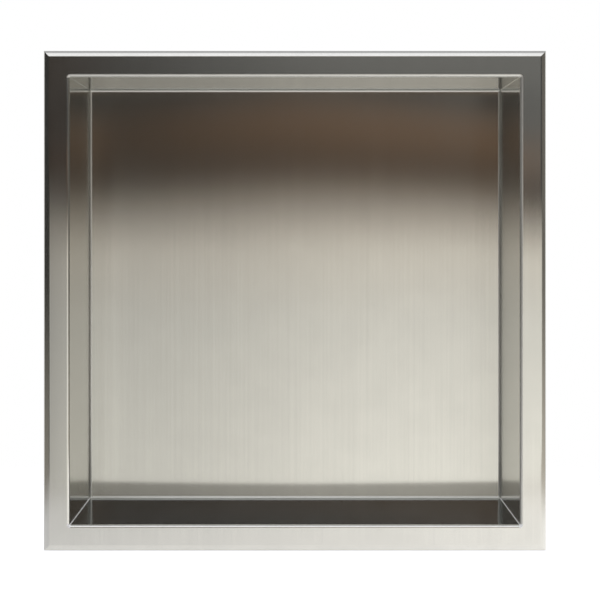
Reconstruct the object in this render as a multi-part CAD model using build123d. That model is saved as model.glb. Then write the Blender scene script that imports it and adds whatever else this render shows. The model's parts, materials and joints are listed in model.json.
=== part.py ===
"""Recessed shower niche insert, folded from one sheet of stainless steel.

A single blank is folded into an open-fronted box with a flange round its mouth. The box's corner
seams are welded and ground, and the flange's outer edge is rolled back until it meets the wall.

Frame, in millimetres: the origin is the middle of the wall plane, which the rolled rim rests on.
+X is right as seen from the room, +Y goes into the wall and +Z is up.
"""

import os

from build123d import *

# Driving dimensions
FACE_WIDTH = 406.0  # over the flange, left to right
FACE_HEIGHT = 404.0  # over the flange, bottom to top
FLANGE_WIDTH = 21.7  # flange's outer edge to the inner face of the box wall
OVERALL_DEPTH = 102.0  # flange's front face to the outside of the back panel
SHEET = 1.2  # thickness of the steel
RIM_BEND = 4.6  # inside radius where the flange rolls back into the rim
RIM_LIP = 1.0  # straight stretch of rim between that roll and the wall
MOUTH_BEND = 1.2  # inside radius where the flange folds into the box walls
BACK_BEND = 1.8  # inside radius where the box walls fold into the back panel
SEAM_ROUND = 0.6  # inside radius of the welded seams between the box walls

# Sizes that follow from them
CAVITY_WIDTH = FACE_WIDTH - 2 * FLANGE_WIDTH
CAVITY_HEIGHT = FACE_HEIGHT - 2 * FLANGE_WIDTH
WALL_PLANE = 0.0
FLANGE_FRONT = WALL_PLANE - RIM_LIP - RIM_BEND - SHEET
FLANGE_REAR = FLANGE_FRONT + SHEET
PANEL_REAR = FLANGE_FRONT + OVERALL_DEPTH
PANEL_FRONT = PANEL_REAR - SHEET

# Sketch plane on the wall, facing into it
INTO_WALL = Plane(origin=(0, 0, 0), x_dir=(1, 0, 0), z_dir=(0, 1, 0))


def block(width, height, front, back):
    """A square-edged block about the Y axis, between two depths."""
    outline = INTO_WALL.offset(front) * Rectangle(width, height)
    return extrude(outline, amount=back - front)


def front_edges(solid):
    """The edges round a block's face towards the room."""
    return solid.faces().sort_by(Axis.Y).first.edges()


def back_edges(solid):
    """The edges round a block's face towards the wall."""
    return solid.faces().sort_by(Axis.Y).last.edges()


def folded_flange():
    """The flange with its rolled rim, still closed across the mouth."""
    outside = block(FACE_WIDTH, FACE_HEIGHT, FLANGE_FRONT, WALL_PLANE)
    outside = fillet(front_edges(outside), RIM_BEND + SHEET)
    inside_width = FACE_WIDTH - 2 * SHEET
    inside_height = FACE_HEIGHT - 2 * SHEET
    inside = block(inside_width, inside_height, FLANGE_REAR, WALL_PLANE)
    inside = fillet(front_edges(inside), RIM_BEND)
    return outside - inside


def box_form(grown, back):
    """The box as a solid: the cavity, grown on every side.

    The folds of the side walls and those of the floor and ceiling meet in mitres at the panel's
    corners, where the rounding of the welded seams runs out.
    """
    form = block(CAVITY_WIDTH + 2 * grown, CAVITY_HEIGHT + 2 * grown, FLANGE_FRONT, back)
    side_folds = fillet(back_edges(form).filter_by(Axis.Z), BACK_BEND + grown)
    shelf_folds = fillet(back_edges(form).filter_by(Axis.X), BACK_BEND + grown)
    seams = fillet(form.edges().filter_by(Axis.Y), SEAM_ROUND + grown)
    return side_folds & shelf_folds & seams


def mouth_edges(flat):
    """The edges where one of the flange's two flats meets the box."""
    return flat.inner_wires()[0].edges()


def niche_shell():
    """The whole insert as one sheet of even thickness."""
    shell = folded_flange() + box_form(SHEET, PANEL_REAR) - box_form(0, PANEL_FRONT)
    front_flat = shell.faces().filter_by(Axis.Y).sort_by(Axis.Y)[0]
    shell = fillet(mouth_edges(front_flat), MOUTH_BEND + SHEET)
    rear_flat = shell.faces().filter_by(Axis.Y).sort_by(Axis.Y)[1]
    return fillet(mouth_edges(rear_flat), MOUTH_BEND)


os.makedirs("parts", exist_ok=True)
export_step(niche_shell(), "parts/niche_shell.step")
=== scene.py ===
"""Looks of the shower niche insert: the folded steel sheet, its corner welds and a plain studio.

The sheet and the welds are grown by Geometry Nodes trees that take the insert's own sizes as inputs.
All is in metres, in the insert's frame: +X right as seen from the room, +Y into the wall and +Z up,
with the origin in the middle of the wall plane that the flange's rim rests on.
"""

import json
import logging
import math
from dataclasses import dataclass, fields, replace
from enum import Enum
from functools import partialmethod
from typing import Any, ClassVar, Dict, List, Optional, Sequence, Tuple, Union

import bpy
from mathutils import Matrix, Vector


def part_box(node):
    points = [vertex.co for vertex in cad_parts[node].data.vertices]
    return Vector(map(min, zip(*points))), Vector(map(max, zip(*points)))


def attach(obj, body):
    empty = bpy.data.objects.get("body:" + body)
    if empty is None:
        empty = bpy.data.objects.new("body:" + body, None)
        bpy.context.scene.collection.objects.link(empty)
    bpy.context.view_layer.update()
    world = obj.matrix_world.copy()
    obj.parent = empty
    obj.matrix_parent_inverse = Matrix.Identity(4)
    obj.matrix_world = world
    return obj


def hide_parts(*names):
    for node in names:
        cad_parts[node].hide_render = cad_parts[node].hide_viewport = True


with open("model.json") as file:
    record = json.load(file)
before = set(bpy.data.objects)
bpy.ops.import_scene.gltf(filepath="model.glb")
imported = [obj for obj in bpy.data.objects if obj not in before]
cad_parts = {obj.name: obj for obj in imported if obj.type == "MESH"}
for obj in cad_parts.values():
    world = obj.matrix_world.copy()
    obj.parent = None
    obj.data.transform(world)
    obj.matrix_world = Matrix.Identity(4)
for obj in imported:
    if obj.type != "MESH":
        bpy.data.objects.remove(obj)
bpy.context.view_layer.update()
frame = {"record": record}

MM = 0.001
SHELL_NODE = "niche_shell"
BODY = "root"
QUARTER_TURN = math.pi / 2
SLANT = math.sqrt(0.5)  # each part of a unit step at 45 degrees
HALF_STEP = 0.5  # keeps a limit clear of the whole numbers on both sides of it

log = logging.getLogger("niche")

Socket = bpy.types.NodeSocket
Material = bpy.types.Material
Links = Dict[Union[str, int], Any]
Number = Union["Field", float]
Pair = Tuple[Number, Number]
Span = Tuple[float, float]
Colour = Tuple[float, float, float]
Point = Tuple[float, float, float]
Coat = Tuple[Material, Union["Field", bool]]


class Step(Enum):
    """How a step from nought to one runs between its ends."""

    SMOOTH = "SMOOTHSTEP"
    EVEN = "LINEAR"


class Field:
    """A number in a node tree, whose arithmetic adds the Math nodes that work it out."""

    def __init__(self, graph: "Graph", socket: Socket) -> None:
        """Wraps one output socket of a graph's node."""
        self.graph = graph
        self.socket = socket

    def through(self, operation: str, *others: Number) -> "Field":
        """This number put through a Math node, ahead of any others."""
        return self.graph.math(operation, self, *others)

    def after(self, operation: str, other: Number) -> "Field":
        """Another number put through a Math node, ahead of this one."""
        return self.graph.math(operation, other, self)

    # Operators and functions, by the Math node that works each one out
    __add__ = partialmethod(through, "ADD")
    __radd__ = partialmethod(after, "ADD")
    __sub__ = partialmethod(through, "SUBTRACT")
    __rsub__ = partialmethod(after, "SUBTRACT")
    __mul__ = partialmethod(through, "MULTIPLY")
    __rmul__ = partialmethod(after, "MULTIPLY")
    __truediv__ = partialmethod(through, "DIVIDE")
    __pow__ = partialmethod(through, "POWER")
    __neg__ = partialmethod(through, "MULTIPLY", -1.0)
    __abs__ = partialmethod(through, "ABSOLUTE")
    sign = partialmethod(through, "SIGN")
    floor = partialmethod(through, "FLOOR")
    sine = partialmethod(through, "SINE")
    cosine = partialmethod(through, "COSINE")
    least = partialmethod(through, "MINIMUM")
    most = partialmethod(through, "MAXIMUM")
    below = partialmethod(through, "LESS_THAN")

    def clamped(self) -> "Field":
        """This number held between nought and one."""
        return Field(self.graph, self.graph.node("ShaderNodeClamp", {"Value": self}).outputs[0])

    def rise(self, low: float, high: float, step: Step = Step.SMOOTH) -> "Field":
        """A step from nought at one value to one at another, in either direction.

        Args:
            low: The value at which the step is nought.
            high: The value at which it is one.
            step: How it runs between them.

        Returns:
            The step.
        """
        turned = high < low
        ends = {"Value": self, "From Min": min(low, high), "From Max": max(low, high)}
        ends["To Min"] = 1.0 if turned else 0.0
        ends["To Max"] = 0.0 if turned else 1.0
        made = self.graph.node("ShaderNodeMapRange", ends, interpolation_type=step.value)
        return Field(self.graph, made.outputs[0])

    def within(self, low: float, high: float, soft: float) -> "Field":
        """One between two values and nought outside them, with soft ends inside."""
        return self.rise(low, low + soft) * self.rise(high, high - soft)

    def between(self, start: Number, end: Number) -> "Field":
        """This share, from nought to one, of the way from one level to another."""
        return start + self * (end - start)


class Graph:
    """A node tree under construction."""

    # Sockets that share their names with others, by number, in the Mix and Random Value nodes
    MIX_COLOURS: ClassVar[Tuple[int, int]] = (6, 7)
    MIX_RESULT: ClassVar[int] = 2
    RANDOM_LIMITS: ClassVar[Tuple[int, int]] = (2, 3)
    RANDOM_RESULT: ClassVar[int] = 1

    def __init__(self, tree: bpy.types.NodeTree) -> None:
        """Takes a tree and empties it."""
        self.tree = tree
        tree.nodes.clear()

    def node(self, kind: str, inputs: Optional[Links] = None, **settings: Any) -> bpy.types.Node:
        """Adds a node.

        Args:
            kind: The node's type.
            inputs: Values or links for its sockets, by name or number.
            settings: Its properties, which are set first.

        Returns:
            The node.
        """
        made = self.tree.nodes.new(kind)
        for name, value in settings.items():
            setattr(made, name, value)
        for name, value in (inputs or {}).items():
            self.feed(made.inputs[name], value)
        return made

    def feed(self, socket: Socket, value: Any) -> None:
        """Links a field or a socket to an input, or sets the input's own value.

        Args:
            socket: The input.
            value: What it takes.
        """
        if isinstance(value, Field):
            value = value.socket
        if isinstance(value, Socket):
            self.tree.links.new(value, socket)
        else:
            socket.default_value = value

    def math(self, operation: str, *values: Number) -> Field:
        """Adds a Math node over fields and numbers."""
        made = self.node("ShaderNodeMath", dict(enumerate(values)), operation=operation)
        return Field(self, made.outputs[0])

    def vector(self, x: Number, y: Number, z: Number) -> Socket:
        """A vector put together from three numbers."""
        return self.node("ShaderNodeCombineXYZ", {"X": x, "Y": y, "Z": z}).outputs[0]

    def split(self, vector: Socket) -> Tuple[Field, Field, Field]:
        """The three numbers of a vector."""
        parts = self.node("ShaderNodeSeparateXYZ", {"Vector": vector}).outputs
        return Field(self, parts[0]), Field(self, parts[1]), Field(self, parts[2])

    def blend(self, share: Number, first: Any, second: Any) -> Socket:
        """A mix of two colours.

        Args:
            share: How much of the second colour there is, from nought to one.
            first: A colour or a link to one.
            second: A colour or a link to one.

        Returns:
            The mixed colour's socket.
        """
        inputs = {0: share}
        for number, value in zip(self.MIX_COLOURS, (first, second)):
            inputs[number] = value if isinstance(value, Socket) else (*value, 1.0)
        return self.node("ShaderNodeMix", inputs, data_type="RGBA").outputs[self.MIX_RESULT]

    def random(self, low: Number, high: Number, seed: int) -> Field:
        """A random number for each element.

        Args:
            low: The least that it can be.
            high: The most that it can be.
            seed: Which row of random numbers it is.

        Returns:
            The number.
        """
        inputs = dict(zip(self.RANDOM_LIMITS, (low, high)))
        inputs["Seed"] = seed
        made = self.node("FunctionNodeRandomValue", inputs, data_type="FLOAT")
        return Field(self, made.outputs[self.RANDOM_RESULT])

    def rays(self) -> Tuple[Field, Field]:
        """Tells rays apart by where they come from.

        Returns:
            Whether a ray comes from the camera, and whether from a gloss or a glass.
        """
        paths = self.node("ShaderNodeLightPath").outputs
        glossy = Field(self, paths["Is Glossy Ray"])
        passed = Field(self, paths["Is Transmission Ray"])
        return Field(self, paths["Is Camera Ray"]), (glossy + passed).clamped()


class Rule:
    """A Geometry Nodes tree with named inputs, and the plain piece that it grows."""

    def __init__(self, name: str) -> None:
        """Starts an empty tree.

        Args:
            name: The piece's name, which the tree takes too.
        """
        self.name = name
        self.tree = bpy.data.node_groups.new(name, "GeometryNodeTree")
        self.graph = Graph(self.tree)
        self.tree.interface.new_socket("Geometry", in_out="OUTPUT", socket_type="NodeSocketGeometry")
        self.values: Dict[str, float] = {}

    def inputs(self, values: Dict[str, float]) -> Dict[str, Field]:
        """Args:
            values: The inputs' names and values.

        Returns:
            The inputs as fields, by name.
        """
        for name, value in values.items():
            socket = self.tree.interface.new_socket(name, in_out="INPUT", socket_type="NodeSocketFloat")
            self.values[socket.identifier] = value
        entry = self.graph.node("NodeGroupInput")
        return {name: Field(self.graph, entry.outputs[name]) for name in values}

    def join(self, meshes: Sequence[Socket]) -> Socket:
        """Joins several geometries into one.

        Args:
            meshes: The geometries.

        Returns:
            The joined geometry.
        """
        joined = self.graph.node("GeometryNodeJoinGeometry")
        for mesh in meshes:
            self.tree.links.new(mesh, joined.inputs[0])
        return joined.outputs[0]

    def grow(self, geometry: Socket, coats: Sequence[Coat]) -> bpy.types.Object:
        """Ends the tree and turns what it grows into an object with a plain mesh.

        Args:
            geometry: What the tree puts out.
            coats: Its materials, each with the faces that it covers, later ones over earlier ones.

        Returns:
            The object, at the origin and with no modifier.
        """
        made = self.graph.node("GeometryNodeRealizeInstances", {"Geometry": geometry}).outputs[0]
        for material, where in coats:
            inputs = {"Geometry": made, "Selection": where, "Material": material}
            made = self.graph.node("GeometryNodeSetMaterial", inputs).outputs[0]
        self.graph.node("NodeGroupOutput", {"Geometry": made})
        piece = bpy.data.objects.new(self.name, bpy.data.meshes.new(self.name))
        bpy.context.scene.collection.objects.link(piece)
        modifier = piece.modifiers.new(self.name, "NODES")
        modifier.node_group = self.tree
        for identifier, value in self.values.items():
            modifier[identifier] = value
        bpy.context.view_layer.update()
        grown = piece.evaluated_get(bpy.context.evaluated_depsgraph_get())
        mesh = bpy.data.meshes.new_from_object(grown)
        piece.modifiers.clear()
        piece.data = mesh
        mesh.name = self.name
        return piece


class Grain(Enum):
    """The way that a brushed face's grain runs, as how far its streaks are drawn out on X, Y and Z."""

    UPRIGHT = (1.0, 1.0, 0.006)
    INWARD = (1.0, 0.012, 1.0)
    NONE = (1.0, 1.0, 1.0)


@dataclass(frozen=True)
class SteelFinish:
    """A finish of the stainless sheet.

    Attributes:
        name: The material's name.
        colour: The steel's own colour.
        roughness: How far it blurs reflections.
        streak: How much the streaks change the colour.
        uneven: How much they change the roughness.
        grain: Which way the grain runs.
        anisotropy: How much more it blurs reflections across the grain.
        metal: Share of the light that is mirrored, and not scattered by the grain.
        glance: How bright the steel is at a glancing view, against a perfect mirror's rise.
        hazy: How much cloudy patches change the share that is mirrored.
    """

    name: str
    colour: Colour
    roughness: float
    streak: float
    uneven: float
    grain: Grain = Grain.NONE
    anisotropy: float = 0.0
    metal: float = 0.95
    glance: float = 0.9
    hazy: float = 0.03

    FINE_SCALE: ClassVar[float] = 620.0
    FINE_DETAIL: ClassVar[float] = 1.0
    FINE_SHARE: ClassVar[float] = 0.9
    BROAD_SCALE: ClassVar[float] = 110.0
    BROAD_DETAIL: ClassVar[float] = 3.0
    BROAD_SHARE: ClassVar[float] = 0.3
    CLOUD_SCALE: ClassVar[float] = 34.0
    CLOUD_DETAIL: ClassVar[float] = 4.0
    CLOUD_SHARE: ClassVar[float] = 0.8
    DETAIL_SHARE: ClassVar[float] = 0.6

    def noise(self, graph: Graph, place: Socket, scale: float, detail: float) -> Field:
        """Noise from minus one to one.

        Args:
            graph: The material's nodes.
            place: The coordinates that it is laid out in.
            scale: Patches per metre.
            detail: Octaves of finer patches within them.

        Returns:
            The noise's level.
        """
        inputs = {"Vector": place, "Scale": scale, "Detail": detail, "Roughness": self.DETAIL_SHARE}
        noise = graph.node("ShaderNodeTexNoise", inputs)
        return (Field(graph, noise.outputs[0]) - 0.5) * 2.0

    def base(self, graph: Graph, place: Socket, level: Field) -> Socket:
        """The colour, with its streaks.

        Args:
            graph: The material's nodes.
            place: Object coordinates; not used here.
            level: The streaks' level.

        Returns:
            The colour's socket.
        """
        dark = tuple(channel * (1.0 - self.streak) for channel in self.colour)
        pale = tuple(min(1.0, channel * (1.0 + self.streak)) for channel in self.colour)
        return graph.blend((level * 0.5 + 0.5).clamped(), dark, pale)

    def material(self) -> Material:
        """Makes the finish as a material.

        Returns:
            The material.
        """
        made = bpy.data.materials.new(self.name)
        made.use_nodes = True
        graph = Graph(made.node_tree)
        place = graph.node("ShaderNodeTexCoord").outputs["Object"]
        inputs = {"Vector": place, "Scale": self.grain.value}
        drawn = graph.node("ShaderNodeMapping", inputs).outputs[0]
        fine = self.noise(graph, drawn, self.FINE_SCALE, self.FINE_DETAIL)
        broad = self.noise(graph, drawn, self.BROAD_SCALE, self.BROAD_DETAIL)
        cloud = self.noise(graph, place, self.CLOUD_SCALE, self.CLOUD_DETAIL)
        level = fine * self.FINE_SHARE + broad * self.BROAD_SHARE + cloud * self.CLOUD_SHARE
        inputs = {
            "Base Color": self.base(graph, place, level),
            "Metallic": (self.metal + cloud * self.hazy).least(1.0),
            "Roughness": self.roughness + level * self.uneven,
            "Anisotropic": self.anisotropy,
            "Specular Tint": (self.glance, self.glance, self.glance, 1.0),
        }
        shader = graph.node("ShaderNodeBsdfPrincipled", inputs)
        graph.node("ShaderNodeOutputMaterial", {"Surface": shader.outputs[0]})
        return made


@dataclass(frozen=True)
class HeatedFinish(SteelFinish):
    """A mill finish with the straw tint that welding leaves along the box's corners and the mitres.

    Attributes:
        corner: Half the width and half the height of the box, outside.
        warmed: How far the tint reaches from a weld.
        tint: Its colour.
        tint_share: How strong it is.
        tint_uneven: How much the streaks change that.
    """

    corner: Span = (0.0, 0.0)
    warmed: float = 7.0 * MM
    tint: Colour = (0.55, 0.45, 0.29)
    tint_share: float = 0.8
    tint_uneven: float = 0.4

    def base(self, graph: Graph, place: Socket, level: Field) -> Socket:
        """The colour, with its streaks and the tint along the welds.

        Args:
            graph: The material's nodes.
            place: Object coordinates.
            level: The streaks' level.

        Returns:
            The colour's socket.
        """
        plain = super().base(graph, place, level)
        x, _, z = graph.split(place)
        across = self.corner[0] - abs(x)
        up = self.corner[1] - abs(z)
        beside = (across - up) * SLANT
        inward = across.least(up).most(0.0)
        away = (beside * beside + inward * inward) ** 0.5
        share = away.rise(self.warmed, 0.0) * (self.tint_share + level * self.tint_uneven)
        return graph.blend(share.clamped(), plain, self.tint)


BARE_STEEL: Colour = (0.70, 0.692, 0.65)
UPRIGHT_STEEL = SteelFinish(
    name="steel_brushed_upright",
    colour=BARE_STEEL,
    roughness=0.144,
    streak=0.056,
    uneven=0.012,
    grain=Grain.UPRIGHT,
    anisotropy=0.877,
)
LEVEL_STEEL = SteelFinish(
    name="steel_brushed_level",
    colour=BARE_STEEL,
    roughness=0.11,
    streak=0.08,
    uneven=0.015,
    grain=Grain.INWARD,
    metal=0.98,
    glance=0.66,
)
# The left wall's copy of the upright steel, dimmer at a glance: painted shade on that wall.
LEFT_WALL_SHADED_STEEL = replace(UPRIGHT_STEEL, name="steel_brushed_left", metal=0.99, glance=0.74)
# The right wall's copy of the upright steel, paler and at full glance: painted light on that wall.
RIGHT_WALL_LIT_STEEL = replace(
    UPRIGHT_STEEL, name="steel_brushed_right", colour=(0.78, 0.77, 0.725), glance=1.0
)
# The niche ceiling's copy of the level steel, darker and cooler: painted shade on the ceiling.
CEILING_SHADED_STEEL = replace(
    LEVEL_STEEL, name="steel_brushed_ceiling", colour=(0.62, 0.635, 0.615), hazy=0.06
)
# The niche floor's copy, darker still and scattering more: painted shade on the floor.
FLOOR_SHADED_STEEL = replace(
    CEILING_SHADED_STEEL, name="steel_brushed_floor", colour=(0.57, 0.60, 0.59), metal=0.94
)
CREASED_STEEL = SteelFinish(
    name="steel_creased",
    colour=BARE_STEEL,
    roughness=0.38,
    streak=0.05,
    uneven=0.03,
    metal=0.86,
)
# The lower seams' coat: matt like ground steel, but near-white, a painted highlight along those seams.
GROUND_SEAM_LIT_STEEL = replace(CREASED_STEEL, name="steel_ground_seam", colour=(1.0, 0.995, 0.98), metal=0.1)
MILL_STEEL = HeatedFinish(
    name="steel_mill",
    colour=(0.62, 0.61, 0.58),
    roughness=0.34,
    streak=0.06,
    uneven=0.04,
)
WELD_STEEL = SteelFinish(
    name="steel_weld",
    colour=(0.52, 0.49, 0.43),
    roughness=0.3,
    streak=0.12,
    uneven=0.05,
)


class Course(Enum):
    """How a stretch of the sheet's section runs: straight, or round a quarter turn."""

    STRAIGHT = "straight"
    DEPTH_FIRST = "bends from the depth to the face"
    FACE_FIRST = "bends from the face to the depth"


class Coating(Enum):
    """The sheet's finishes, with the walls' lit and shaded copies and the seams' painted highlight, by
    the number that marks a face.
    """

    UPRIGHT = 0
    LEVEL = 1
    # FLOOR, RIGHT, CEILING and LEFT mark the walls' copies: painted light on the right, painted shade
    # on the others.
    FLOOR = 2
    RIGHT = 3
    CEILING = 4
    LEFT = 5
    # GROUND marks the lower seams' near-white coat, a painted highlight.
    GROUND = 6
    CREASED = 7
    MILL = 8


class Side(Enum):
    """The insert's sides, numbered in the order that its strips run round them."""

    BOTTOM = 0
    RIGHT = 1
    TOP = 2
    LEFT = 3


class Skin(Enum):
    """How a stretch of the sheet is coated along the bottom, the right, the top and the left, where the
    walls' coats carry painted light and shade.
    """

    UPRIGHT = (Coating.UPRIGHT,) * len(Side)
    ROLLED = (Coating.LEVEL, Coating.UPRIGHT, Coating.LEVEL, Coating.UPRIGHT)
    MOUTH = (Coating.LEVEL, Coating.CREASED, Coating.CREASED, Coating.UPRIGHT)
    # The walls take their per-side copies: painted light on the right wall, painted shade on the left
    # wall, the ceiling and the floor.
    WALLS = (Coating.FLOOR, Coating.RIGHT, Coating.CEILING, Coating.LEFT)
    CREASED = (Coating.CREASED,) * len(Side)
    MILL = (Coating.MILL,) * len(Side)

    @property
    def welded(self) -> bool:
        """Whether its lower corners take the ground seams' coat: matt, and near-white as a painted
        highlight.
        """
        return self in (Skin.MOUTH, Skin.WALLS)


@dataclass(frozen=True)
class Stretch:
    """One stretch of the sheet's section, which runs round all four sides.

    Attributes:
        inset: Distance in from the flange's outer edge, at its start and end.
        depth: Depth into the wall, at its start and end.
        seam: Radius of its rounded corners, at its start and end.
        course: How it runs between them.
        rings: Number of faces along it.
        skin: Its finish, which on the walls carries painted light and shade.
        hollow: Whether its shading follows the back panel's hollow.
    """

    inset: Pair
    depth: Pair
    seam: Pair
    course: Course
    rings: int
    skin: Skin
    hollow: bool = False


@dataclass
class NicheSheet:
    """The whole insert: box, flange and rolled rim, all one sheet of even thickness.

    The back panel lies flat, as in the part. Its slight hollow is in its shading alone.

    Attributes:
        face_width: Width over the flange.
        face_height: Height over the flange.
        overall_depth: Flange's front to the outside of the back panel.
        flange_width: Flange's outer edge to the inside of the box.
        sheet: Thickness of the steel.
        rim_bend: Inside radius of the rolled rim.
        rim_lip: Straight stretch of rim next to the wall.
        mouth_bend: Inside radius of the fold from the flange into the box.
        back_bend: Inside radius of the back panel's folds.
        seam_round: Inside radius of the welded corner seams.
        hollow: How far the middle of the back panel is shaded as sprung back from its edges.
        hollow_power: How the hollow falls off towards the floor and ceiling.
        slack: Share of the hollow that is lost at the side walls.
        slack_power: How it is lost towards them.
        spring_left: How far it is shaded as coming forward again at the left wall's fold.
        spring_right: How far it does so at the right wall's fold.
        spring_power: How close to those folds it does so.
        side_cells: Faces along each side.
        seam_cells: Faces round each corner seam.
    """

    face_width: float
    face_height: float
    overall_depth: float
    flange_width: float
    sheet: float
    rim_bend: float
    rim_lip: float = 1.0 * MM
    mouth_bend: float = 1.2 * MM
    back_bend: float = 1.8 * MM
    seam_round: float = 0.6 * MM
    hollow: float = 3.4 * MM
    hollow_power: float = 2.2
    slack: float = 0.29
    slack_power: float = 1.6
    spring_left: float = 0.85 * MM
    spring_right: float = 1.2 * MM
    spring_power: float = 14.0
    side_cells: int = 48
    seam_cells: int = 6

    NAME: ClassVar[str] = "niche_sheet"
    MARK: ClassVar[str] = "coating"
    MERGE: ClassVar[float] = 1e-6
    EDGE_RINGS: ClassVar[int] = 1
    FLANGE_RINGS: ClassVar[int] = 6
    BEND_RINGS: ClassVar[int] = 12
    WALL_RINGS: ClassVar[int] = 24

    @classmethod
    def from_frame(cls) -> "NicheSheet":
        """Works the sheet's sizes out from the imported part's box and mounts.

        Returns:
            The sheet.
        """
        low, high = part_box(SHELL_NODE)
        mounts = {mount["name"]: mount["pos_m"] for mount in frame["record"]["mounts"]}
        sheet = mounts["flange_back"][1] - low.y
        return cls(
            face_width=high.x - low.x,
            face_height=high.z - low.z,
            overall_depth=high.y - low.y,
            flange_width=mounts["shelf_floor"][2] - low.z,
            sheet=sheet,
            rim_bend=-low.y - cls.rim_lip - sheet,
        )

    @property
    def box_corner(self) -> Span:
        """Half the width and half the height of the box, outside."""
        inset = self.flange_width - self.sheet
        return self.face_width / 2 - inset, self.face_height / 2 - inset

    @property
    def flange_rear(self) -> float:
        """Depth of the flange's hidden face."""
        return -self.rim_lip - self.rim_bend

    def sizes(self) -> Dict[str, float]:
        """The measures that the sheet's tree takes, by its inputs' names, such as Face width."""
        names = [entry.name for entry in fields(self) if entry.type is float]
        return {name.capitalize().replace("_", " "): getattr(self, name) for name in names}

    def section(self, size: Dict[str, Field]) -> List[Stretch]:
        """The sheet's section, from the rim's outer edge to the back panel and back again behind.

        Args:
            size: The tree's inputs.

        Returns:
            The stretches, end to end, without the back panel's two flats.
        """
        sheet = size["Sheet"]
        rim = size["Rim bend"] + sheet
        mouth = size["Mouth bend"] + sheet
        fold = size["Back bend"]
        wall = size["Flange width"]
        wall_rear = wall - sheet
        flat = wall - mouth
        panel = wall + fold
        lip = -size["Rim lip"]
        front = lip - rim
        rear = front + sheet
        start = front + mouth
        behind = front + size["Overall depth"]
        back = behind - sheet
        end = back - fold
        inner = size["Seam round"]
        outer = inner + sheet
        opening = inner + mouth
        sharp = (0.0, 0.0)
        straight, from_depth, from_face = Course.STRAIGHT, Course.DEPTH_FIRST, Course.FACE_FIRST
        edge, flange, bend, deep = self.EDGE_RINGS, self.FLANGE_RINGS, self.BEND_RINGS, self.WALL_RINGS
        return [
            Stretch((0.0, 0.0), (0.0, lip), sharp, straight, edge, Skin.ROLLED),
            Stretch((0.0, rim), (lip, front), sharp, from_depth, bend, Skin.ROLLED),
            Stretch((rim, flat), (front, front), (0.0, opening), straight, flange, Skin.UPRIGHT),
            Stretch((flat, wall), (front, start), (opening, inner), from_face, bend, Skin.MOUTH),
            Stretch((wall, wall), (start, end), (inner, inner), straight, deep, Skin.WALLS),
            Stretch((wall, panel), (end, back), (inner, 0.0), from_depth, bend, Skin.CREASED, True),
            Stretch((panel, wall_rear), (behind, end), (0.0, outer), from_face, bend, Skin.MILL),
            Stretch((wall_rear, wall_rear), (end, start), (outer, outer), straight, deep, Skin.MILL),
            Stretch((wall_rear, flat), (start, rear), (outer, opening), from_depth, bend, Skin.MILL),
            Stretch((flat, rim), (rear, rear), (opening, 0.0), straight, flange, Skin.MILL),
            Stretch((rim, sheet), (rear, lip), sharp, from_face, bend, Skin.MILL),
            Stretch((sheet, sheet), (lip, 0.0), sharp, straight, edge, Skin.MILL),
            Stretch((sheet, 0.0), (0.0, 0.0), sharp, straight, edge, Skin.MILL),
        ]

    @staticmethod
    def panel_half(size: Dict[str, Field]) -> Tuple[Field, Field]:
        """Half the width and half the height of the back panel between its folds."""
        inset = size["Flange width"] + size["Back bend"]
        return size["Face width"] * 0.5 - inset, size["Face height"] * 0.5 - inset

    def slopes(self, size: Dict[str, Field], x: Field, z: Field) -> Tuple[Field, Field]:
        """The slopes of the back panel's hollow.

        Args:
            size: The tree's inputs.
            x: Place across.
            z: Place up.

        Returns:
            How fast the hollow deepens across and up.
        """
        half_width, half_height = self.panel_half(size)
        across = abs(x / half_width).clamped()
        up = abs(z / half_height).clamped()
        hollow, power = size["Hollow"], size["Hollow power"]
        slack, slack_power = size["Slack"], size["Slack power"]
        left, right, spring_power = size["Spring left"], size["Spring right"], size["Spring power"]
        spring = right + (left - right) * x.below(0.0)
        held = 1.0 - slack * across ** slack_power
        free = 1.0 - up ** power
        loss = hollow * free * slack * slack_power * across ** (slack_power - 1.0)
        loss = loss + spring * spring_power * across ** (spring_power - 1.0)
        fall = hollow * held * power * up ** (power - 1.0)
        return -(x.sign() * loss / half_width), -(z.sign() * fall / half_height)

    @staticmethod
    def numbered_grid(
        graph: Graph, columns: int, rows: int
    ) -> Tuple[Socket, Field, Field]:
        """A grid of points that keep their numbers.

        Args:
            graph: The tree's nodes.
            columns: Points one way.
            rows: Points the other way.

        Returns:
            The grid's mesh, and each point's column and row.
        """
        grid = graph.node("GeometryNodeMeshGrid", {"Vertices X": columns, "Vertices Y": rows})
        number = Field(graph, graph.node("GeometryNodeInputIndex").outputs[0])
        column = ((number + HALF_STEP) / float(rows)).floor()
        capture = graph.node("GeometryNodeCaptureAttribute")
        for name in ("Column", "Row"):
            capture.capture_items.new("FLOAT", name)
        graph.feed(capture.inputs["Geometry"], grid.outputs[0])
        graph.feed(capture.inputs["Column"], column)
        graph.feed(capture.inputs["Row"], number - column * float(rows))
        kept = capture.outputs
        return kept["Geometry"], Field(graph, kept["Column"]), Field(graph, kept["Row"])

    def laid(
        self,
        graph: Graph,
        mesh: Socket,
        place: Socket,
        normal: Socket,
        coating: Number,
    ) -> Socket:
        """Lays a grid out as a part of the sheet, shaded so that bends are smooth and mitres sharp.

        Args:
            graph: The tree's nodes.
            mesh: The grid.
            place: Where its points go.
            normal: Its true normals.
            coating: The number of its faces' finish.

        Returns:
            The part's mesh.
        """
        moved = graph.node("GeometryNodeSetPosition", {"Geometry": mesh, "Position": place})
        inputs = {"Mesh": moved.outputs[0], "Custom Normal": normal}
        shaded = graph.node("GeometryNodeSetMeshNormal", inputs, mode="FREE", domain="CORNER")
        inputs = {"Geometry": shaded.outputs[0], "Name": self.MARK, "Value": coating}
        kind = "GeometryNodeStoreNamedAttribute"
        return graph.node(kind, inputs, data_type="FLOAT", domain="FACE").outputs[0]

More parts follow.
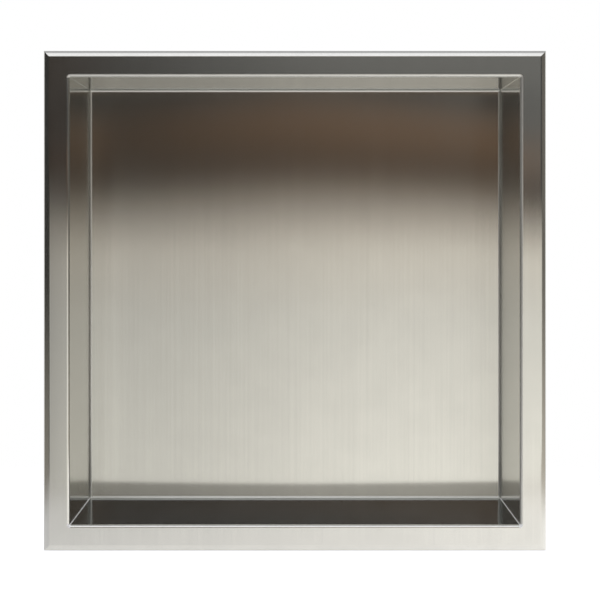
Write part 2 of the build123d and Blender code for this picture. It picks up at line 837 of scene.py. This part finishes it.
    def coating(self, skin: Skin, side: Field, cell: Field) -> Number:
        """The number of a stretch's coat, which on the walls and their lower seams carries painted
        light and shade.

        Args:
            skin: How the stretch is finished.
            side: Which side a face is on, from the bottom round by the right.
            cell: Its place along that side.

        Returns:
            The number, as a field where it changes.
        """
        numbers = [float(coating.value) for coating in skin.value]
        mark: Number = numbers[0]
        for corner, (before, after) in enumerate(zip(numbers, numbers[1:])):
            if after != before:
                mark = mark + (1.0 - side.below(corner + HALF_STEP)) * (after - before)
        if not skin.welded:
            return mark
        # The lower corners of the mouth and walls take the ground seams' near-white coat, a painted
        # highlight.
        first = side.below(Side.BOTTOM.value + HALF_STEP)
        last = 1.0 - side.below(Side.TOP.value + HALF_STEP)
        ground = (first + last) * (1.0 - cell.below(float(self.side_cells)))
        return ground.between(mark, float(Coating.GROUND.value))

    def strip(self, graph: Graph, size: Dict[str, Field], run: Stretch) -> Socket:
        """Grows one stretch round the four sides.

        Args:
            graph: The tree's nodes.
            size: The tree's inputs.
            run: The stretch.

        Returns:
            The strip's mesh.
        """
        turn = self.side_cells + self.seam_cells
        mesh, column, ring = self.numbered_grid(graph, len(Side) * turn + 1, run.rings + 1)
        side = (column / float(turn)).floor()
        cell = column - side * float(turn)
        along = (cell / float(self.side_cells)).clamped() * 2.0 - 1.0
        swing = ((cell - float(self.side_cells)) / float(self.seam_cells)).clamped() * QUARTER_TURN
        heading = side * QUARTER_TURN
        upright = side - (side / 2.0).floor() * 2.0

        share = ring / float(run.rings)
        angle = share * QUARTER_TURN
        sine, cosine = angle.sine(), angle.cosine()
        moves: Dict[Course, Tuple[Number, ...]] = {
            Course.STRAIGHT: (share, share, 1.0, 1.0),
            Course.DEPTH_FIRST: (1.0 - cosine, sine, sine, cosine),
            Course.FACE_FIRST: (sine, 1.0 - cosine, cosine, sine),
        }
        gone_in, gone_back, going_in, going_back = moves[run.course]
        run_in = run.inset[1] - run.inset[0]
        run_back = run.depth[1] - run.depth[0]
        inset = run.inset[0] + gone_in * run_in
        depth = run.depth[0] + gone_back * run_back
        seam = run.seam[0] + gone_in * (run.seam[1] - run.seam[0])

        half_width = size["Face width"] * 0.5 - inset
        half_height = size["Face height"] * 0.5 - inset
        reach = upright.between(half_height, half_width)
        length = upright.between(half_width, half_height)
        outward = reach - seam + seam * swing.cosine()
        sideways = (length - seam) * along + seam * swing.sine()
        x = heading.sine() * outward + heading.cosine() * sideways
        z = heading.sine() * sideways - heading.cosine() * outward

        facing = heading + swing
        normal_out = going_back * run_back
        normal_x = -(facing.sine() * normal_out)
        normal_y = -1.0 * (going_in * run_in)
        normal_z = facing.cosine() * normal_out
        if run.hollow:
            deepens_across, deepens_up = self.slopes(size, x, z)
            normal_x = normal_x - deepens_across * normal_y
            normal_z = normal_z - deepens_up * normal_y
        place = graph.vector(x, depth, z)
        normal = graph.vector(normal_x, normal_y, normal_z)
        return self.laid(graph, mesh, place, normal, self.coating(run.skin, side, cell))

    def panel_flat(self, graph: Graph, size: Dict[str, Field], rear: bool) -> Socket:
        """Grows one face of the back panel, between its folds.

        Args:
            graph: The tree's nodes.
            size: The tree's inputs.
            rear: Whether it is the face in the wall, and not the one towards the room.

        Returns:
            The face's mesh.
        """
        mesh, column, row = self.numbered_grid(graph, self.side_cells + 1, self.side_cells + 1)
        step = 2.0 / self.side_cells
        across = column * step - 1.0
        half_width, half_height = self.panel_half(size)
        x = (-across if rear else across) * half_width
        z = (row * step - 1.0) * half_height
        behind = size["Overall depth"] - size["Rim lip"] - size["Rim bend"] - size["Sheet"]
        if rear:
            place, normal = graph.vector(x, behind, z), graph.vector(0.0, 1.0, 0.0)
            return self.laid(graph, mesh, place, normal, float(Coating.MILL.value))
        deepens_across, deepens_up = self.slopes(size, x, z)
        place = graph.vector(x, behind - size["Sheet"], z)
        normal = graph.vector(deepens_across, -1.0, deepens_up)
        return self.laid(graph, mesh, place, normal, float(Coating.UPRIGHT.value))

    def coats(self, graph: Graph) -> List[Coat]:
        """The sheet's materials, each with the faces that its number marks.

        Args:
            graph: The tree's nodes.

        Returns:
            The materials, later ones over earlier ones.
        """
        # Real finishes, and among them the walls' lit and shaded copies and the seams' painted
        # highlight.
        finishes = {
            Coating.UPRIGHT: UPRIGHT_STEEL,
            Coating.LEVEL: LEVEL_STEEL,
            Coating.FLOOR: FLOOR_SHADED_STEEL,
            Coating.RIGHT: RIGHT_WALL_LIT_STEEL,
            Coating.CEILING: CEILING_SHADED_STEEL,
            Coating.LEFT: LEFT_WALL_SHADED_STEEL,
            Coating.GROUND: GROUND_SEAM_LIT_STEEL,
            Coating.CREASED: CREASED_STEEL,
            Coating.MILL: replace(MILL_STEEL, corner=self.box_corner),
        }
        inputs = {"Name": self.MARK}
        read = graph.node("GeometryNodeInputNamedAttribute", inputs, data_type="FLOAT")
        mark = Field(graph, read.outputs["Attribute"])
        return [
            (finish.material(), 1.0 - mark.below(coating.value - HALF_STEP))
            for coating, finish in finishes.items()
        ]

    def build(self) -> bpy.types.Object:
        """Grows the sheet and puts it in the shell's place.

        Returns:
            The sheet's object.
        """
        rule = Rule(self.NAME)
        size = rule.inputs(self.sizes())
        parts = [self.strip(rule.graph, size, run) for run in self.section(size)]
        parts += [self.panel_flat(rule.graph, size, rear) for rear in (False, True)]
        inputs = {"Geometry": rule.join(parts), "Distance": self.MERGE}
        whole = rule.graph.node("GeometryNodeMergeByDistance", inputs).outputs[0]
        piece = rule.grow(whole, self.coats(rule.graph))
        piece.data.attributes.remove(piece.data.attributes[self.MARK])
        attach(piece, BODY)
        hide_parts(SHELL_NODE)
        return piece


@dataclass(frozen=True)
class WeldRun:
    """One weld in the upper right corner, which the other three corners repeat.

    Attributes:
        start: Where it starts.
        end: Where it ends.
        proud: The way that it stands proud.
    """

    start: Point
    end: Point
    proud: Point

    def turned(self, right: float, upper: float) -> "WeldRun":
        """The same weld in another corner, by the signs of that corner's X and Z."""
        points = [(x * right, y, z * upper) for x, y, z in (self.start, self.end, self.proud)]
        return WeldRun(*points)

    def rotation(self) -> Tuple[float, float, float]:
        """The turn that lays a ripple along the weld, with its top standing proud.

        Returns:
            The turn's angles about X, Y and Z.
        """
        along = (Vector(self.end) - Vector(self.start)).normalized()
        up = Vector(self.proud).normalized()
        return Matrix((along.cross(up), along, up)).transposed().to_euler()


@dataclass(frozen=True)
class CornerWelds:
    """The welds along the box's four corners and the flange's mitres, on the hidden side.

    Attributes:
        sheet: The sheet that they close.
        pitch: Distance from one ripple of the bead to the next.
        half_width: Half a ripple's width.
        half_length: Half its length along the weld.
        half_height: Half its height, before its underside is cut flat.
        sunk: How far its middle lies under the sheet's surface.
        uneven: How far ripples differ in size.
        seed: Which way they differ.
    """

    sheet: NicheSheet
    pitch: float = 0.9 * MM
    half_width: float = 1.4 * MM
    half_length: float = 1.0 * MM
    half_height: float = 1.0 * MM
    sunk: float = 0.7 * MM
    uneven: float = 0.14
    seed: int = 7

    NAME: ClassVar[str] = "corner_welds"
    SEGMENTS: ClassVar[int] = 8
    RINGS: ClassVar[int] = 5
    FLAT: ClassVar[float] = -0.3  # where a ripple of unit size is cut flat
    CLEAR: ClassVar[float] = 2.0  # bends of the mouth between the flange and a seam's weld
    CORNERS: ClassVar[Tuple[Span, ...]] = ((1.0, 1.0), (1.0, -1.0), (-1.0, -1.0), (-1.0, 1.0))

    def runs(self) -> List[WeldRun]:
        """Places the welds of the upper right corner.

        Returns:
            The box's seam, and the flange's mitre.
        """
        sheet = self.sheet
        half_width, half_height = sheet.box_corner
        rounding = sheet.seam_round + sheet.sheet
        inward = rounding * (1.0 - SLANT) + self.sunk * SLANT
        mouth = sheet.flange_rear + self.CLEAR * sheet.mouth_bend
        rear = sheet.flange_rear - sheet.sheet + sheet.overall_depth
        back = rear - sheet.back_bend - sheet.sheet
        x, z = half_width - inward, half_height - inward
        seam = WeldRun((x, mouth, z), (x, back, z), (SLANT, 0.0, SLANT))
        near = sheet.mouth_bend
        far = sheet.flange_width - sheet.sheet - sheet.rim_bend - sheet.sheet
        y = sheet.flange_rear - self.sunk
        start = (half_width + near, y, half_height + near)
        end = (half_width + far, y, half_height + far)
        return [seam, WeldRun(start, end, (0.0, 1.0, 0.0))]

    def ripple(self, graph: Graph) -> Socket:
        """Makes one ripple of unit size, round above and flat below.

        Args:
            graph: The tree's nodes.

        Returns:
            The ripple's mesh.
        """
        inputs = {"Segments": self.SEGMENTS, "Rings": self.RINGS, "Radius": 1.0}
        ball = graph.node("GeometryNodeMeshUVSphere", inputs).outputs[0]
        x, y, z = graph.split(graph.node("GeometryNodeInputPosition").outputs[0])
        inputs = {"Geometry": ball, "Position": graph.vector(x, y, z.most(self.FLAT))}
        cut = graph.node("GeometryNodeSetPosition", inputs).outputs[0]
        return graph.node("GeometryNodeSetShadeSmooth", {"Geometry": cut}).outputs[0]

    def bead(
        self,
        graph: Graph,
        size: Dict[str, Field],
        ripple: Socket,
        run: WeldRun,
        seed: int,
    ) -> Socket:
        """Lays a row of ripples along one weld.

        Args:
            graph: The tree's nodes.
            size: The tree's inputs.
            ripple: One ripple.
            run: The weld.
            seed: Which way its ripples differ.

        Returns:
            The ripples, as instances.
        """
        inputs = {"Resolution": size["Pitch"], "Start Location": run.start, "Offset": run.end}
        line = graph.node("GeometryNodeMeshLine", inputs, mode="END_POINTS", count_mode="RESOLUTION")
        grown = graph.random(1.0 - size["Uneven"], 1.0 + size["Uneven"], seed)
        halves = [size[name] * grown for name in ("Half width", "Half length", "Half height")]
        scale = graph.vector(*halves)
        inputs = {"Points": line.outputs[0], "Instance": ripple, "Scale": scale}
        inputs["Rotation"] = run.rotation()
        return graph.node("GeometryNodeInstanceOnPoints", inputs).outputs[0]

    def build(self) -> bpy.types.Object:
        """Grows the welds on the sheet.

        Returns:
            The welds' object.
        """
        rule = Rule(self.NAME)
        size = rule.inputs(
            {
                "Pitch": self.pitch,
                "Half width": self.half_width,
                "Half length": self.half_length,
                "Half height": self.half_height,
                "Uneven": self.uneven,
            }
        )
        graph = rule.graph
        ripple = self.ripple(graph)
        runs = [run.turned(*corner) for run in self.runs() for corner in self.CORNERS]
        beads = [self.bead(graph, size, ripple, run, self.seed + row) for row, run in enumerate(runs)]
        piece = rule.grow(rule.join(beads), [(WELD_STEEL.material(), True)])
        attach(piece, BODY)
        return piece


def stage_plane(name: str, first: Point, last: Point, made: Material) -> bpy.types.Object:
    """Makes one flat piece of the studio, with two edges along X.

    Args:
        name: Its name.
        first: One corner.
        last: The corner opposite.
        made: Its material.

    Returns:
        The object.
    """
    mesh = bpy.data.meshes.new(name)
    corners = [first, (last[0], *first[1:]), last, (first[0], *last[1:])]
    mesh.from_pydata(corners, [], [(0, 1, 2, 3)])
    mesh.materials.append(made)
    plane = bpy.data.objects.new(name, mesh)
    bpy.context.scene.collection.objects.link(plane)
    return plane


@dataclass(frozen=True)
class ReflectorCard:
    """The pale card behind the camera, which the steel mirrors: lit below, and dim and brown above.

    Attributes:
        place: Its depth, on the room's side of the camera.
        left: Its left edge.
        right: Its right edge.
        top: Its upper edge.
        bottom: Its lower edge.
    """

    place: float = -1.06
    left: float = -0.65
    right: float = 1.2
    top: float = 0.40
    bottom: float = -0.36

    PALE: ClassVar[Colour] = (1.0, 0.985, 0.93)
    WARM: ClassVar[Colour] = (1.0, 0.92, 0.81)
    BROWN: ClassVar[Colour] = (1.0, 0.62, 0.38)
    GREY: ClassVar[Colour] = (1.0, 1.0, 0.97)

    # The lit part: how high it reaches, how it brightens downwards and to the right, where it warms
    # and ends on the left, and how its upper edge tilts and leans
    LIT_FADE: ClassVar[Span] = (0.098, 0.0)
    LIT_MIDDLE: ClassVar[float] = 0.72
    LIT_FOOT: ClassVar[Span] = (-0.06, -0.36)
    LIT_WARMS: ClassVar[Span] = (-0.1, 0.08)
    LIT_LEFT: ClassVar[float] = 0.87
    LIT_RIGHT: ClassVar[float] = 1.135
    LIT_ACROSS: ClassVar[Span] = (-0.18, 0.14)
    LIT_END: ClassVar[Span] = (-0.478, -0.375)
    TILT: ClassVar[float] = 0.01
    LEAN: ClassVar[float] = 0.063
    LEAN_ACROSS: ClassVar[Span] = (-0.35, -0.4)

    # The dim part: how it brightens upwards and to the right and fades again at the far right, two
    # darker patches, and where it greys above and on the right
    DIM_LEFT: ClassVar[float] = 0.02
    DIM_RIGHT: ClassVar[float] = 0.135
    DIM_ACROSS: ClassVar[Span] = (-0.46, 0.15)
    DIM_FAR: ClassVar[Span] = (0.5, 0.8)
    FAR_LOSS: ClassVar[float] = 0.8
    DIM_FOOT: ClassVar[float] = 0.6
    DIM_TOP: ClassVar[float] = 1.31
    DIM_UP: ClassVar[Span] = (0.115, 0.165)
    BAND_LOSS: ClassVar[float] = 0.15
    BAND: ClassVar[Tuple[float, float, float]] = (0.175, 0.3, 0.03)
    PATCH_LOSS: ClassVar[float] = 0.75
    PATCH_UP: ClassVar[Tuple[float, float, float]] = (0.185, 0.3, 0.03)
    PATCH_ACROSS: ClassVar[Tuple[float, float, float]] = (-0.3, 0.36, 0.1)
    GREYS: ClassVar[Span] = (0.165, 0.225)
    GREYS_ACROSS: ClassVar[Span] = (-0.4, -0.3)
    GREYS_RIGHT: ClassVar[Span] = (0.34, 0.4)
    GREY_RIGHT: ClassVar[float] = 0.7

    def material(self) -> Material:
        """Makes the card's glow.

        Returns:
            The material.
        """
        made = bpy.data.materials.new("card_glow")
        made.use_nodes = True
        graph = Graph(made.node_tree)
        x, _, z = graph.split(graph.node("ShaderNodeTexCoord").outputs["Object"])
        height = z - x * self.TILT - x.rise(*self.LEAN_ACROSS) * self.LEAN
        foot = height.rise(*self.LIT_FOOT, Step.EVEN).between(self.LIT_MIDDLE, 1.0)
        share = foot * height.rise(*self.LIT_FADE, Step.EVEN)
        lit = x.rise(*self.LIT_ACROSS).between(self.LIT_LEFT, self.LIT_RIGHT)
        lit_colour = graph.blend(height.rise(*self.LIT_WARMS, Step.EVEN), self.PALE, self.WARM)
        dim = x.rise(*self.DIM_ACROSS).between(self.DIM_LEFT, self.DIM_RIGHT)
        dim = dim * (1.0 - x.rise(*self.DIM_FAR) * self.FAR_LOSS)
        up = z.rise(*self.DIM_UP).between(self.DIM_FOOT, self.DIM_TOP)
        up = up - z.within(*self.BAND) * self.BAND_LOSS
        patch = z.within(*self.PATCH_UP) * x.within(*self.PATCH_ACROSS)
        greyed = z.rise(*self.GREYS) * x.rise(*self.GREYS_ACROSS)
        greyed = greyed.most(x.rise(*self.GREYS_RIGHT) * self.GREY_RIGHT)
        dim_colour = graph.blend(greyed, self.BROWN, self.GREY)
        inputs = {"Color": lit_colour, "Strength": lit * x.rise(*self.LIT_END)}
        glow = graph.node("ShaderNodeEmission", inputs).outputs[0]
        inputs = {"Color": dim_colour, "Strength": dim * up * (1.0 - patch * self.PATCH_LOSS)}
        gloom = graph.node("ShaderNodeEmission", inputs).outputs[0]
        mix = graph.node("ShaderNodeMixShader", {0: share, 1: gloom, 2: glow})
        graph.node("ShaderNodeOutputMaterial", {"Surface": mix.outputs[0]})
        return made

    def build(self) -> bpy.types.Object:
        """Stands the card up, out of the camera's own sight.

        Returns:
            The card's object.
        """
        first, last = (self.left, self.place, self.bottom), (self.right, self.place, self.top)
        plane = stage_plane("reflector_card", first, last, self.material())
        plane.visible_camera = False
        return plane


@dataclass(frozen=True)
class PaleFloor:
    """The floor under the insert, which fades into the background away from it.

    Attributes:
        height: Its height.
        reach: Half its width.
        solid: Distance from the insert up to which it hasn't begun to fade.
    """

    height: float = -0.36
    reach: float = 1.3
    solid: float = 0.9

    COLOUR: ClassVar[Colour] = (0.86, 0.86, 0.86)
    WHITE: ClassVar[Colour] = (1.0, 1.0, 1.0)
    WARM: ClassVar[Colour] = (1.0, 0.975, 0.92)
    SEEN_LIFT: ClassVar[float] = 0.5
    MIRRORED_LEFT: ClassVar[float] = 0.16
    MIRRORED_RIGHT: ClassVar[float] = 0.67
    MIRRORED_ACROSS: ClassVar[Span] = (-0.6, 0.4)

    def material(self) -> Material:
        """Makes the floor: pale, lifted to white for the camera, with the shadow kept.

        Returns:
            The material.
        """
        made = bpy.data.materials.new("floor_pale")
        made.use_nodes = True
        graph = Graph(made.node_tree)
        x, y, _ = graph.split(graph.node("ShaderNodeTexCoord").outputs["Object"])
        camera, mirrored = graph.rays()
        plain = graph.node("ShaderNodeBsdfDiffuse", {"Color": (*self.COLOUR, 1.0)}).outputs[0]
        across = x.rise(*self.MIRRORED_ACROSS, Step.EVEN)
        glare = across.between(self.MIRRORED_LEFT, self.MIRRORED_RIGHT)
        lift = camera * self.SEEN_LIFT + mirrored * glare
        inputs = {"Color": graph.blend(mirrored, self.WHITE, self.WARM), "Strength": lift}
        glow = graph.node("ShaderNodeEmission", inputs).outputs[0]
        both = graph.node("ShaderNodeAddShader", {0: plain, 1: glow}).outputs[0]
        near = ((x * x + y * y) ** 0.5).rise(self.reach, self.solid)
        clear = graph.node("ShaderNodeBsdfTransparent").outputs[0]
        mix = graph.node("ShaderNodeMixShader", {0: near, 1: clear, 2: both})
        graph.node("ShaderNodeOutputMaterial", {"Surface": mix.outputs[0]})
        return made

    def build(self) -> bpy.types.Object:
        """Lays the floor, and gives its object."""
        first, last = (-self.reach, -self.reach, self.height), (self.reach, self.reach, self.height)
        return stage_plane("floor", first, last, self.material())


@dataclass(frozen=True)
class SoftWorld:
    """The light all round: a bright sky over a dim room, with white behind the insert.

    Attributes:
        room_left: Level of the room on the left.
        room_right: Level of the room on the right.
        ground_left: What the ground adds on the left.
        ground_right: What it adds on the right.
        sky_front: Level of the sky over the room.
        sky_back: Level of the sky over the insert and behind it.
    """

    room_left: float = 0.02
    room_right: float = 0.14
    ground_left: float = 0.28
    ground_right: float = 0.5
    sky_front: float = 1.28
    sky_back: float = 0.64

    WHITE: ClassVar[Colour] = (1.0, 1.0, 1.0)
    SKY: ClassVar[Colour] = (0.94, 0.95, 1.0)
    ROOM: ClassVar[Colour] = (1.0, 0.93, 0.82)
    ROOM_ACROSS: ClassVar[Span] = (-0.32, 0.1)
    GROUND_ACROSS: ClassVar[Span] = (-0.6, 0.6)
    GROUND_DOWN: ClassVar[Span] = (-0.02, -0.24)
    SKY_UP: ClassVar[Span] = (0.33, 0.47)
    SKY_INWARD: ClassVar[Span] = (-0.25, -0.05)
    BEHIND_INWARD: ClassVar[Span] = (0.3, 0.75)
    BEHIND_UP: ClassVar[Span] = (0.6, 0.35)

    def build(self) -> None:
        """Makes the world and gives it to the scene."""
        world = bpy.data.worlds.new("studio")
        world.use_nodes = True
        bpy.context.scene.world = world
        graph = Graph(world.node_tree)
        x, y, z = graph.split(graph.node("ShaderNodeTexCoord").outputs["Generated"])
        room = x.rise(*self.ROOM_ACROSS).between(self.room_left, self.room_right)
        ground = x.rise(*self.GROUND_ACROSS).between(self.ground_left, self.ground_right)
        overhead = y.rise(*self.SKY_INWARD).between(self.sky_front, self.sky_back)
        sky = z.rise(*self.SKY_UP)
        level = (room + ground * z.rise(*self.GROUND_DOWN)) * (1.0 - sky) + overhead * sky
        inputs = {"Color": graph.blend(sky, self.ROOM, self.SKY), "Strength": level}
        soft = graph.node("ShaderNodeBackground", inputs).outputs[0]
        plain = graph.node("ShaderNodeBackground", {"Color": (*self.WHITE, 1.0)}).outputs[0]
        camera, mirrored = graph.rays()
        behind = y.rise(*self.BEHIND_INWARD) * z.rise(*self.BEHIND_UP)
        share = (camera + mirrored * behind).clamped()
        mix = graph.node("ShaderNodeMixShader", {0: share, 1: soft, 2: plain})
        graph.node("ShaderNodeOutputWorld", {"Surface": mix.outputs[0]})


@dataclass(frozen=True)
class Studio:
    """The plain studio: a pale floor, a card to mirror, soft light all round and the camera.

    Attributes:
        camera_place: Where the camera stands.
        lens: Focal length, in millimetres.
        sensor: Width of the picture in the camera, in millimetres.
        shift: The lens's shift, which keeps upright edges upright.
    """

    camera_place: Point = (0.0019, -1.027, 0.063)
    lens: float = 76.08
    sensor: float = 36.0
    shift: Span = (0.0046, -0.1287)

    def camera(self) -> None:
        """Sets the camera square to the insert, a little above its middle."""
        data = bpy.data.cameras.new("camera")
        data.lens = self.lens
        data.sensor_width = self.sensor
        data.shift_x, data.shift_y = self.shift
        camera = bpy.data.objects.new("camera", data)
        camera.location = self.camera_place
        camera.rotation_euler = (QUARTER_TURN, 0.0, 0.0)
        bpy.context.scene.collection.objects.link(camera)
        bpy.context.scene.camera = camera

    def build(self) -> None:
        """Sets the studio up."""
        PaleFloor().build()
        ReflectorCard().build()
        SoftWorld().build()
        self.camera()
        bpy.context.scene.view_settings.view_transform = "Standard"


def main() -> None:
    """Builds the insert and the studio, and reports each piece."""
    logging.basicConfig(level=logging.INFO, format="%(message)s")
    sheet = NicheSheet.from_frame()
    for piece in (sheet.build(), CornerWelds(sheet).build()):
        log.info("%s: %d faces", piece.name, len(piece.data.polygons))
    Studio().build()


if __name__ == "__main__":
    main()
